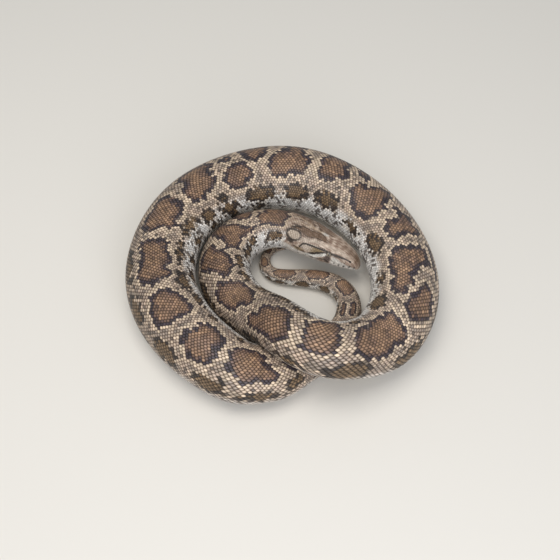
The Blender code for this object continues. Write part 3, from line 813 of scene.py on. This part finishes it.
HEAD_ROWS = np.append(np.arange(0, FRONT_END, 0.45 * MM), np.arange(FRONT_END, HEAD_LENGTH - 0.5 * MM, MM))
HEAD_POINTS, HEAD_SHADOW, HEAD_HEIGHT = head_skin(HEAD_ROWS)
HEAD_HEIGHT = np.append(HEAD_HEIGHT, HEAD_HEIGHT[:, :1], axis=1)[..., None]


def relief_at(s, f):
    """Height of the head's relief under its small scales, read from the grid of the skin."""
    return read_grid(HEAD_HEIGHT, HEAD_ROWS, s, f)[..., 0] * (s < HEAD_LENGTH)


def add_mesh(name, points, faces, uv, colours, material, smooth=None):
    """Makes an object from arrays: points, lists of faces of one size each, a place on the
    unwrap for every corner and a colour for every point."""
    mesh = bpy.data.meshes.new(name)
    corners = np.concatenate([group.ravel() for group in faces]).astype(np.int32)
    sizes = np.concatenate([np.full(len(group), group.shape[1]) for group in faces])
    mesh.vertices.add(len(points))
    mesh.vertices.foreach_set("co", points.astype(np.float32).ravel())
    mesh.loops.add(len(corners))
    mesh.loops.foreach_set("vertex_index", corners)
    mesh.polygons.add(len(sizes))
    mesh.polygons.foreach_set("loop_start", (np.cumsum(sizes) - sizes).astype(np.int32))
    mesh.polygons.foreach_set("use_smooth", np.ones(len(sizes), bool) if smooth is None else smooth)
    mesh.update(calc_edges=True)
    layer = mesh.uv_layers.new(name="OFBake")
    layer.data.foreach_set("uv", uv.astype(np.float32).ravel())
    pigment = mesh.color_attributes.new(name="pigment", type="FLOAT_COLOR", domain="POINT")
    rgba = np.concatenate([colours, np.ones((len(colours), 1))], axis=1)
    pigment.data.foreach_set("color", rgba.astype(np.float32).ravel())
    mesh.validate()
    mesh.materials.append(material)
    piece = bpy.data.objects.new(name, mesh)
    bpy.context.scene.collection.objects.link(piece)
    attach(piece, "root")
    return piece


def add_node(material, kind, sockets=None, **settings):
    """Adds a shader node, gives it its settings, and sets or links each socket named."""
    tree = material.node_tree
    node = tree.nodes.new(kind)
    for key, value in settings.items():
        setattr(node, key, value)
    for key, value in (sockets or {}).items():
        if isinstance(value, bpy.types.NodeSocket):
            tree.links.new(value, node.inputs[key])
        else:
            node.inputs[key].default_value = value
    return node


def new_material(name):
    """A finish with nothing set yet, and its surface shader."""
    material = bpy.data.materials.new(name)
    material.use_nodes = True
    return material, material.node_tree.nodes["Principled BSDF"]


def hide_material(name, roughness, spread, grain_mm, bump):
    """Keratin over skin: the pigment's colour with a fine grain, satin where it is smooth.

    The grain is noise on Object coordinates at its size in millimetres. It shifts the colour by
    a few per cent and the roughness by the spread, and lifts the surface by the bump's height.
    """
    material, shader = new_material(name)
    place = add_node(material, "ShaderNodeTexCoord").outputs["Object"]
    pigment = add_node(material, "ShaderNodeVertexColor", layer_name="pigment").outputs["Color"]
    grain = add_node(material, "ShaderNodeTexNoise",
                     {"Vector": place, "Scale": 1 / (grain_mm * MM), "Detail": 3.0}).outputs["Fac"]
    mottle = add_node(material, "ShaderNodeMapRange", {"Value": grain, "To Min": 0.84, "To Max": 1.16})
    shade = add_node(material, "ShaderNodeVectorMath",
                     {0: pigment, 1: mottle.outputs["Result"]}, operation="MULTIPLY")
    sheen = add_node(material, "ShaderNodeMapRange",
                     {"Value": grain, "To Min": roughness - spread, "To Max": roughness + spread})
    lift = add_node(material, "ShaderNodeBump", {"Height": grain, "Strength": 0.6, "Distance": bump})
    link = material.node_tree.links.new
    link(shade.outputs["Vector"], shader.inputs["Base Color"])
    link(sheen.outputs["Result"], shader.inputs["Roughness"])
    link(lift.outputs["Normal"], shader.inputs["Normal"])
    return material


def grid_quads(rows, columns, closed, first=0):
    """Faces of a grid of points numbered row by row; closed columns join round to the first."""
    i, j = np.indices((rows - 1, columns if closed else columns - 1)).reshape(2, -1)
    k = (j + 1) % columns
    corners = (i * columns + j, (i + 1) * columns + j, (i + 1) * columns + k, i * columns + k)
    return first + np.stack(corners, 1)


def tip_fan(columns, first, tip, rear):
    """Triangles from a tip to a closed ring of points, and how far round each corner lies."""
    turn = np.arange(columns)[:, None] + np.array((0.5, 1, 0) if rear else (0.5, 0, 1))
    ring = first + turn[:, 1:].astype(int) % columns
    return np.append(np.full((columns, 1), tip), ring, axis=1), turn / columns


def unwrap(s, turn):
    """Place on the map of each corner of some faces, from its distance and how far round it is.

    The head lies along the foot of the map. The body lies in three strips above it, each face in
    the strip that its first corner is in.
    """
    reach = 3 * (s - HEAD_LENGTH) / (TAIL_TIP - HEAD_LENGTH)
    strip = np.clip(np.floor(reach[:, :1]), 0, 2)
    on_head = s[:, :1] < HEAD_LENGTH
    u = np.where(on_head, 0.6 * s / HEAD_LENGTH, 0.97 * (reach - strip))
    low = np.where(on_head, 0.01, 0.405 + 0.198 * strip)
    return np.stack([0.01 + u, low + np.where(on_head, 0.37, 0.18) * turn], -1).reshape(-1, 2)


def unwrap_grid(at, columns):
    """The unwrap of the corners of all the faces of a closed grid."""
    i, j = np.indices((len(at) - 1, columns)).reshape(2, -1)
    return unwrap(at[np.stack([i, i + 1, i + 1, i], 1)], np.stack([j, j, j + 1, j + 1], 1) / columns)


def build_skin():
    """Grids of the head and the body, stitched at the nape, with a closed snout and tail."""
    middle = HEAD_POINTS[0].mean(axis=0)
    forward = unit(middle - axis_points(np.array([12 * MM]))[0])
    caps = [middle + (HEAD_POINTS[0] - middle) * share + forward * 0.5 * MM * (1 - share**2)
            for share in (0.25, 0.6, 0.85)]
    head = np.concatenate([caps, HEAD_POINTS])
    head_at = np.append(np.zeros(3), HEAD_ROWS)
    body_at = np.linspace(HEAD_LENGTH, TAIL_TIP, 366)
    body_s, body_f = np.meshgrid(body_at, ring_shares(BODY_COLUMNS), indexing="ij")
    body, _ = skin_at(body_s, body_f)
    snout_tip = middle + forward * 0.52 * MM
    tail_end = body[-1].mean(axis=0)
    tail_tip = tail_end + unit(tail_end - body[-3].mean(axis=0)) * 1.0 * MM
    points = np.concatenate([head.reshape(-1, 3), body.reshape(-1, 3), [snout_tip], [tail_tip]])
    head_count = len(head) * HEAD_COLUMNS
    tip_index = len(points) - 2

    quads = np.concatenate([grid_quads(len(head), HEAD_COLUMNS, True),
                            grid_quads(len(body), BODY_COLUMNS, True, head_count)])
    j = np.arange(BODY_COLUMNS)
    k = (j + 1) % BODY_COLUMNS
    last = head_count - HEAD_COLUMNS
    a, b, c = last + 2 * j, last + 2 * j + 1, last + 2 * k
    p, q = head_count + j, head_count + k
    joints = np.concatenate([np.stack(corners, 1) for corners in ((a, p, b), (b, p, q), (b, q, c))])
    joint_turn = np.concatenate([2 * j[:, None] + step for step in ((0, 0, 1), (1, 0, 2), (1, 2, 2))])
    near, far = HEAD_ROWS[-1], HEAD_LENGTH
    joint_s = np.repeat([[near, far, near], [near, far, far], [near, far, near]], BODY_COLUMNS, axis=0)
    snout, snout_turn = tip_fan(HEAD_COLUMNS, 0, tip_index, False)
    tail, tail_turn = tip_fan(BODY_COLUMNS, tip_index - BODY_COLUMNS, tip_index + 1, True)
    uv = np.concatenate([
        unwrap_grid(head_at, HEAD_COLUMNS), unwrap_grid(body_at, BODY_COLUMNS),
        unwrap(joint_s, joint_turn / HEAD_COLUMNS), unwrap(np.zeros(snout.shape), snout_turn),
        unwrap(np.full(tail.shape, TAIL_TIP), tail_turn),
    ])

    s = np.concatenate([np.repeat(head_at, HEAD_COLUMNS), body_s.ravel(), [0, TAIL_TIP]])
    f = np.concatenate([np.tile(ring_shares(HEAD_COLUMNS), len(head)), body_f.ravel(), [0, 0]])
    # Painted shade: the head's relief darkens its furrows, sutures, pits, nostrils, mouth slit and eye
    # sockets. The skin under the small scales is darkened to 0.3 as the shade beneath them.
    shade = np.ones(len(s))
    shade[:head_count] -= 0.9 * np.append(np.tile(HEAD_SHADOW[0], 3), HEAD_SHADOW)
    shade_under_scales = np.where(bare_of_scales(s, f) | (s < 17 * MM), 1.0, 0.3)
    colours = markings(s, f) * (shade * shade_under_scales)[:, None]
    material = hide_material("python_hide_satin", 0.5, 0.1, 1.1, 0.1 * MM)
    return add_mesh("skin", points, [quads, np.concatenate([joints, snout, tail])], uv, colours, material)


skin = build_skin()
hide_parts(*[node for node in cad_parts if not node.startswith("eye")])


# ---------------------------------------------------------------------------------------------
# Scales. Small, smooth, lens-shaped plates of keratin that grow from the skin in oblique rows,
# each with its front edge under the ones before it and its rear edge free. They are smallest on
# the face, lie closer on the inside of a bend and stand apart on the outside.
# ---------------------------------------------------------------------------------------------

# Distance between neighbouring columns of scales, by distance from the snout, in millimetres.
COLUMN_PITCH = (
    (0, 1.5), (30, 1.6), (56, 1.9), (90, 2.3), (118, 2.8), (160, 3.2), (300, 3.4), (660, 3.7),
    (1200, 3.7), (1500, 3.4), (1708, 2.6), (1858, 1.9), (1943, 1.2),
)
ROW_TO_COLUMN = 1.46
LAST_COLUMN_SHARE = 0.415
SCALE_WIDTH = 1.56
SCALE_LENGTH = 1.25
SCALE_SIDES = 8
SCALE_POWER = 1.55
# Half the width that the patch of one scale takes on the unwrap.
PATCH_HALF = 0.0015


def column_pitch(s):
    """Distance between neighbouring columns of scales, read between the rows of its table."""
    knots, pitches = np.array(COLUMN_PITCH, float).T * MM
    return np.interp(s, knots, pitches)


FORM_STRETCH = np.linalg.norm(np.gradient(FORM, axis=0), axis=2) / np.gradient(STATIONS)[:, None]


def stretch_at(s, f):
    """Length on the skin for each unit of distance along the backbone."""
    row = np.interp(s, STATIONS, np.arange(len(STATIONS))).astype(int)
    column = ((np.mod(f + 0.5, 1.0)) * (len(SHARES) - 1)).astype(int)
    return np.clip(FORM_STRETCH[row, column], 0.3, 2.2)


def scale_lattice():
    """Roots of all the scales: the distance of each from the snout and its share of the girth.

    Rows are counted by the integral of one over the row pitch, and every second column starts
    half a row later, so that neighbours interlock in oblique rows.
    """
    along = np.linspace(0, TAIL_TIP, 6000)
    row_count = np.append(0, np.cumsum(np.diff(along) / (column_pitch(along[1:]) * ROW_TO_COLUMN)))
    rows = np.arange(int(row_count[-1]))
    most = int(0.5 / (column_pitch(along) / np.interp(along, STATIONS, GIRTH)).min()) + 1
    columns = np.arange(-most, most + 1)
    row, column = np.meshgrid(rows, columns, indexing="ij")
    s = np.interp(row + 0.5 * (column % 2), row_count, along)
    f = column * column_pitch(s) / np.interp(s, STATIONS, GIRTH)
    keep = (np.abs(f) < LAST_COLUMN_SHARE) & (s > 6 * MM) & (s < TAIL_TIP - 3 * MM)
    keep |= (np.abs(f) < 0.492) & (s > 30 * MM) & (s < 112 * MM)
    return s[keep], f[keep]


def scale_template():
    """One scale: a rim and a raised inner ring of eight points, a centre and a point below.

    Gives places along and across between -1 and 1, heights in millimetres and the triangles of
    the top, then of the underside.
    """
    turn = np.arange(SCALE_SIDES) * 2 * np.pi / SCALE_SIDES
    x, y = (np.sign(wave) * np.abs(wave) ** (2 / SCALE_POWER) for wave in (np.cos(turn), np.sin(turn)))
    rim_height = -0.3 + 0.72 * ((x + 1) / 2) ** 1.2
    inner_height = 0.08 + 0.44 * (0.62 * x + 1) / 2
    along = np.concatenate([x, 0.66 * x + 0.04, [0.0, 0.0]])
    across = np.concatenate([y, 0.66 * y, [0.0, 0.0]])
    height = np.concatenate([rim_height, inner_height, [0.34, -0.35]])
    n = SCALE_SIDES
    i = np.arange(n)
    k = (i + 1) % n
    corners = ((i, k, n + k), (i, n + k, n + i), (n + i, n + k, 2 * n + 0 * i), (k, i, 2 * n + 1 + 0 * i))
    return along, across, height, np.concatenate([np.stack(three, 1) for three in corners])


SCALE_ALONG, SCALE_ACROSS, SCALE_HEIGHT, SCALE_FACES = scale_template()
scale_dice = np.random.default_rng(7)


def add_scales(name, start, stop, s, f, material):
    """Lays a scale on the skin at each root between two distances, as one joined mesh.

    Every point of a scale is read from the skin at its own distance and share, so that a scale
    bends with the hide. Its half length is half the row pitch times the overlap, over the skin's
    stretch there. Its colour is the pigment's at its root, with painted shade at its rim and a
    painted highlight, slightly bluish, in the middle, the more so the darker the pigment. On the
    head it follows the pigment across the scale and hardly changes from scale to scale, so that
    lines stay fine.
    """
    on_head = start < HEAD_LENGTH
    # Share of the pigment kept at each scale's rim as painted shade, less on the head, then the spread of
    # the random tone from scale to scale.
    rim_shade, uneven_tone = (0.7, 0.06) if on_head else (0.26, 0.22)
    chosen = (s >= start) & (s < stop)
    s, f = s[chosen], f[chosen]
    count = len(s)
    pitch = column_pitch(s)
    stretch = stretch_at(s, f)
    uneven = scale_dice.normal(0, 1, (4, count))
    half_length = pitch * ROW_TO_COLUMN * SCALE_LENGTH / 2 * (0.35 + 0.65 * stretch) / stretch
    half_width = pitch * SCALE_WIDTH / 2
    thick = np.clip(pitch / (3.4 * MM), 0.45, 1.0) * (1 + 0.06 * uneven[0])
    turned = 0.05 * uneven[1][:, None]
    along = SCALE_ALONG * (1 + 0.03 * uneven[2][:, None]) - SCALE_ACROSS * turned
    across = SCALE_ACROSS + SCALE_ALONG * turned
    at = s[:, None] + along * half_length[:, None]
    share = f[:, None] + across * (half_width / np.interp(s, STATIONS, GIRTH))[:, None]
    lift = SCALE_HEIGHT * thick[:, None] * MM
    points, _ = skin_at(np.clip(at, 0.5 * MM, TAIL_TIP), share, lift + relief_at(at, share))

    tone = markings(s, f, 0.8 * MM * scale_dice.normal(0, 1, count))[:, None, :]
    if on_head:
        tone = mix(tone, markings(at, share), 0.8)
    tone = tone * np.exp(uneven_tone * np.clip(uneven[3], -2, 2))[:, None, None]
    # Painted shade and highlight: the rim and the point below are darkened by the rim shade with a warm
    # tint, and the inner ring a little. The middle point is lightened and turned bluish as a painted
    # highlight, more on dark pigment.
    depth = 1 - rim_shade
    rim = rim_shade * np.array((1.06, 1.0, 0.9))
    edge = np.stack([rim] * SCALE_SIDES + [np.full(3, 1 - 0.2 * depth)] * SCALE_SIDES + [np.ones(3), rim])
    colours = tone * edge
    centre_highlight = 1 + 1.7 * depth * np.maximum(0.75 - colours[:, -2].mean(axis=1), 0)
    colours[:, -2] *= centre_highlight[:, None] * np.array((0.97, 1.03, 1.1))

    faces = (np.arange(count)[:, None, None] * len(SCALE_ALONG) + SCALE_FACES).reshape(-1, 3)
    root = np.stack([0.004 + 0.992 * (s - start) / (stop - start), 0.01 + 0.98 * (f + 0.5)], 1)
    uv = root[:, None] + np.stack([SCALE_ALONG, SCALE_ACROSS], 1)[SCALE_FACES.ravel()] * PATCH_HALF
    smooth = np.tile(np.arange(len(SCALE_FACES)) < len(SCALE_FACES) - SCALE_SIDES, count)
    piece = add_mesh(name, points.reshape(-1, 3), [faces], uv.reshape(-1, 2),
                     np.clip(colours, 0, 1).reshape(-1, 3), material, smooth)


root_s, root_f = scale_lattice()
bare = bare_of_scales(root_s, root_f)
root_s, root_f = root_s[~bare], root_f[~bare]
scale_finish = hide_material("python_scale_keratin", 0.42, 0.08, 0.6, 0.05 * MM)
band_start = 0.0
for band_name, band_end in (("head", 118), ("neck", 430), ("shoulder", 780), ("midbody", 1100),
                            ("hind", 1420), ("tail", 1960)):
    add_scales("scales_" + band_name, band_start, band_end * MM, root_s, root_f, scale_finish)
    band_start = band_end * MM


# ---------------------------------------------------------------------------------------------
# Belly scutes. Wide, thin horny plates across the belly, one behind the other from the throat to
# the tail, smooth and cream, which the animal lies on. Each one lies over the front of the next.
# ---------------------------------------------------------------------------------------------

SCUTE_SHARE = 0.094
SCUTE_PITCH = 1.62
SCUTE_ROWS = (0.0, 0.35, 0.8, 1.0)
SCUTE_COLUMNS = 14


def add_scutes(name, start, stop, material):
    """Plates on a grid of four rows and fourteen columns each, with an underside, in one mesh.

    A plate's front row is sunk and its rear row lifted, and its ends taper to rounded tips.
    """
    along = np.linspace(start, stop, 4000)
    count_at = np.append(0, np.cumsum(np.diff(along) / (column_pitch(along[1:]) * SCUTE_PITCH)))
    roots = np.interp(np.arange(int(count_at[-1])), count_at, along)
    count = len(roots)
    pitch = column_pitch(roots) * SCUTE_PITCH
    t, w = np.meshgrid(SCUTE_ROWS, np.linspace(-1, 1, SCUTE_COLUMNS), indexing="ij")
    top = np.interp(t, SCUTE_ROWS, (-0.35, 0.25, 0.62, 0.7)) * (1 - 0.75 * np.abs(w) ** 6)
    size = np.clip(pitch / (5.5 * MM), 0.4, 1)[:, None, None, None]
    across_plate = 0.5 + (t - 0.5) * (1 - 0.5 * np.abs(w) ** 5)
    s = roots[:, None, None, None] + np.stack([across_plate] * 2) * (pitch * 1.2)[:, None, None, None]
    f = 0.5 + np.broadcast_to(w * SCUTE_SHARE, s.shape)
    lift = np.stack([top, np.full(t.shape, -0.5)]) * size * MM
    points, _ = skin_at(np.clip(s, 0, TAIL_TIP - 1 * MM), f, lift)

    rows, columns = t.shape
    quads = grid_quads(rows, columns, False)
    below = quads[:, ::-1] + t.size
    ring = np.concatenate([
        np.arange(rows) * columns, (rows - 1) * columns + np.arange(1, columns),
        (np.arange(rows - 2, -1, -1) + 1) * columns - 1, np.arange(columns - 2, 0, -1),
    ])
    after = np.roll(ring, -1)
    template = np.concatenate([quads, below, np.stack([after, ring, ring + t.size, after + t.size], 1)])
    faces = (np.arange(count)[:, None, None] * 2 * t.size + template).reshape(-1, 4)

    middle = roots + 0.5 * pitch
    tone = BELLY_CREAM * (1 + 0.05 * scale_dice.normal(0, 1, (count, 1)))
    blotch = ease(ripples(middle[:, None], w[0] * 27 * MM, 18 * MM, 51), 0.2, 1.1) * np.abs(w[0]) ** 2
    shade = mix(tone[:, None, :], FLANK_FLECK, blotch * 0.75)[:, None, None]
    # Painted shade: each plate is darker at its sunk front, under the plate before it, and a little darker
    # at its rear edge.
    colours = np.clip(shade * np.interp(t, (0, 0.8, 1), (0.85, 1.0, 0.9))[..., None], 0, 1)
    root = np.stack([0.004 + 0.992 * (middle - start) / (stop - start), np.full(count, 0.5)], 1)
    patch = np.stack([np.tile(t.ravel(), 2) - 0.5, np.tile(w.ravel(), 2)], 1)[template.ravel()]
    uv = root[:, None] + patch * (PATCH_HALF, 0.1)
    piece = add_mesh(name, points.reshape(-1, 3), [faces], uv.reshape(-1, 2),
                     np.repeat(colours, 2, axis=1).reshape(-1, 3), material)


add_scutes("belly_scutes", 112 * MM, TAIL_TIP - 8 * MM, scale_finish)


# ---------------------------------------------------------------------------------------------
# Eyes. Round eyeballs under the clear fixed spectacle that a snake has in place of lids: a
# grey-brown iris with fine streaks, an upright slit pupil and a wet-looking, glossy front.
# ---------------------------------------------------------------------------------------------

IRIS_GREY = linear("#a59884")
IRIS_BROWN = linear("#4c3f33")
PUPIL_BLACK = linear("#0b0a09")
SPECTACLE_RIM = linear("#2a2420")
EYE_RINGS = 72
EYE_COLUMNS = 120


def build_eye(name, side_sign, material):
    """A sphere on rings round its outward pole, with the iris drawn from the place on its face.

    The pupil is where |x| < 0.17 (1 - (y / 0.66)^2), and the streaks are waves of the turn. The
    iris is painted lighter towards the top as a painted highlight and darker towards the bottom
    as painted shade.
    """
    centre, back, outward, up = eye_place(side_sign)
    polar = np.linspace(0, np.pi, EYE_RINGS + 1)[1:-1]
    turn = np.arange(EYE_COLUMNS) * 2 * np.pi / EYE_COLUMNS
    x = np.sin(polar)[:, None] * np.cos(turn)
    y = np.sin(polar)[:, None] * np.sin(turn)
    z = np.cos(polar)[:, None] + 0 * x
    directions = np.stack([x, y, z], -1).reshape(-1, 3)
    directions = np.concatenate([[[0, 0, 1]], directions, [[0, 0, -1]]])
    place = directions @ np.stack([back, up, outward])
    x, y = directions[:, 0], directions[:, 1]
    facing = directions[:, 2] > 0
    around = np.arctan2(y, x)
    reach = np.hypot(x, y)
    streaks = 0.5 + 0.25 * np.sin(37 * around + 3 * reach) + 0.25 * np.sin(61 * around + 1.3)
    colour = mix(IRIS_BROWN, IRIS_GREY, 0.25 + 0.6 * streaks * ease(reach, 0.1, 0.5))
    # Painted highlight on the upper part of the iris and painted shade on its lower part.
    colour = mix(colour, IRIS_GREY, ease(y, 0.0, 0.6) * 0.5)
    colour = mix(colour, IRIS_BROWN * 0.6, ease(-y, 0.0, 0.6) * 0.7)
    colour = mix(colour, SPECTACLE_RIM, ease(reach, 0.72, 0.86))
    slit = 0.17 * (1 - (y / 0.66) ** 2) - np.abs(x)
    colour = mix(colour, PUPIL_BLACK, ease(slit, -0.015, 0.02) * facing)
    colour = np.where(facing[:, None], colour, SPECTACLE_RIM)
    quads = grid_quads(EYE_RINGS - 1, EYE_COLUMNS, True, 1)
    front, _ = tip_fan(EYE_COLUMNS, 1, 0, False)
    rear, _ = tip_fan(EYE_COLUMNS, len(place) - 1 - EYE_COLUMNS, len(place) - 1, True)
    faces = [quads, np.concatenate([front, rear])]
    if np.linalg.det(np.stack([back, up, outward])) < 0:
        faces = [group[:, ::-1] for group in faces]
    uv = np.stack([0.25 + 0.24 * x + 0.5 * ~facing, 0.5 + 0.24 * y], 1)
    corners = np.concatenate([group.ravel() for group in faces])
    piece = add_mesh(name, centre + place * EYE_RADIUS, faces, uv[corners], colour, material)
    return piece


def spectacle_material():
    """Moist clear scale over the iris: a mirror-like coat over a satin painted ground."""
    material, shader = new_material("eye_under_clear_spectacle")
    pigment = add_node(material, "ShaderNodeVertexColor", layer_name="pigment").outputs["Color"]
    material.node_tree.links.new(pigment, shader.inputs["Base Color"])
    shader.inputs["Roughness"].default_value = 0.35
    shader.inputs["Coat Weight"].default_value = 1.0
    shader.inputs["Coat Roughness"].default_value = 0.04
    shader.inputs["Coat IOR"].default_value = 1.38
    return material


eye_finish = spectacle_material()
for eye_name, eye_side in (("eye_right", NEAR_SIDE), ("eye_left", FAR_SIDE)):
    eyeball = build_eye(eye_name + "_ball", eye_side, eye_finish)
    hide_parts(eye_name)


# ---------------------------------------------------------------------------------------------
# Studio. A plain pale floor, a large soft light overhead and behind, a weaker one from the front,
# and the camera above and in front of the coil.
# ---------------------------------------------------------------------------------------------

CAMERA_TARGET = (-0.002, 0.009, 0.0)
CAMERA_DISTANCE = 1.8192
CAMERA_ELEVATION = math.radians(52)
CAMERA_FIELD = math.radians(26)
FLOOR_HALF = 6.0

floor_mesh = bpy.data.meshes.new("studio_floor")
floor_corners = [(x * FLOOR_HALF, y * FLOOR_HALF, 0) for x, y in ((-1, -1), (1, -1), (1, 1), (-1, 1))]
floor_mesh.from_pydata(floor_corners, [], [(0, 1, 2, 3)])
floor = bpy.data.objects.new("studio_floor", floor_mesh)
bpy.context.scene.collection.objects.link(floor)
paper, paper_shader = new_material("matt_pale_paper")
paper_shader.inputs["Base Color"].default_value = (*linear("#dedad2"), 1)
paper_shader.inputs["Roughness"].default_value = 0.9
floor_mesh.materials.append(paper)


def add_soft_light(name, place, size, power, colour):
    """A square area light at a place, turned to face the middle of the coil's foot."""
    light = bpy.data.lights.new(name, "AREA")
    light.size = size
    light.energy = power
    light.color = linear(colour)
    lamp = bpy.data.objects.new(name, light)
    lamp.location = place
    lamp.rotation_euler = (-Vector(place)).to_track_quat("-Z", "Y").to_euler()
    bpy.context.scene.collection.objects.link(lamp)


add_soft_light("key_light", (-0.4, -0.2, 2.1), 1.5, 24, "#fffaf4")
add_soft_light("fill_light", (0.3, -1.9, 1.05), 1.8, 31, "#f6f8ff")
world = bpy.data.worlds.new("studio_air")
world.use_nodes = True
world.node_tree.nodes["Background"].inputs["Color"].default_value = (0.9, 0.95, 1.0, 1)
world.node_tree.nodes["Background"].inputs["Strength"].default_value = 0.45
bpy.context.scene.world = world

bpy.context.scene.view_settings.view_transform = "Standard"

camera_data = bpy.data.cameras.new("studio_camera")
camera_data.sensor_width = 36
camera_data.lens = camera_data.sensor_width / 2 / math.tan(CAMERA_FIELD / 2)
camera = bpy.data.objects.new("studio_camera", camera_data)
camera_offset = Vector((0, -math.cos(CAMERA_ELEVATION), math.sin(CAMERA_ELEVATION))) * CAMERA_DISTANCE
camera.location = Vector(CAMERA_TARGET) + camera_offset
camera.rotation_euler = (math.radians(90) - CAMERA_ELEVATION, 0, 0)
bpy.context.scene.collection.objects.link(camera)
bpy.context.scene.camera = camera
